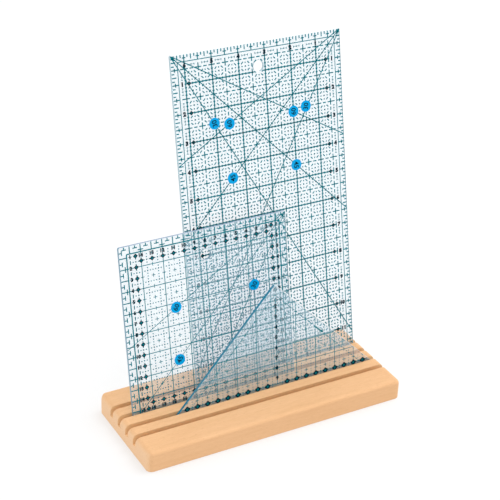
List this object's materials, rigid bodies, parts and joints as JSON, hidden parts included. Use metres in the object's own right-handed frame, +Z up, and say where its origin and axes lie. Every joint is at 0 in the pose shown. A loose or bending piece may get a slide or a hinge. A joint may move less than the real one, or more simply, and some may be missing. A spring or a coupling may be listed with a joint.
{
  "type": "quilting ruler set in a slotted rack",
  "caption": "Slotted beech rack holding clear acrylic quilting rulers, a rectangle, a square and a right triangle, that lift out.",
  "frame": {"origin": "middle of the rack's underside, on the surface it stands on", "axes": "+X along the rack to its right end, -Y towards the user who reads the rulers, +Z up"},
  "size_m": [0.252, 0.1367, 0.3085],
  "materials": {
    "beech": "satin lacquer",
    "clear_acrylic": "polished, clear",
    "teal_ink": "printed line",
    "dark_ink": "printed numeral",
    "blue_ink": "printed solid spot"
  },
  "bodies": {
    "rack": {"rack": "beech"},
    "rectangle_ruler": {"rectangle_ruler": "clear_acrylic"},
    "square_ruler": {"square_ruler": "clear_acrylic"},
    "triangle_ruler": {"triangle_ruler": "clear_acrylic"}
  },
  "joints": [
    {"name": "rectangle_ruler_lift", "type": "slide", "parent": "rack", "child": "rectangle_ruler", "axis": [0, 0.2045, 0.9789], "range_m": [0, 0.08]},
    {"name": "square_ruler_lift", "type": "slide", "parent": "rack", "child": "square_ruler", "axis": [0, 0.1925, 0.9813], "range_m": [0, 0.08]},
    {"name": "triangle_ruler_lift", "type": "slide", "parent": "rack", "child": "triangle_ruler", "axis": [0, 0.1409, 0.99], "range_m": [0, 0.08]}
  ]
}
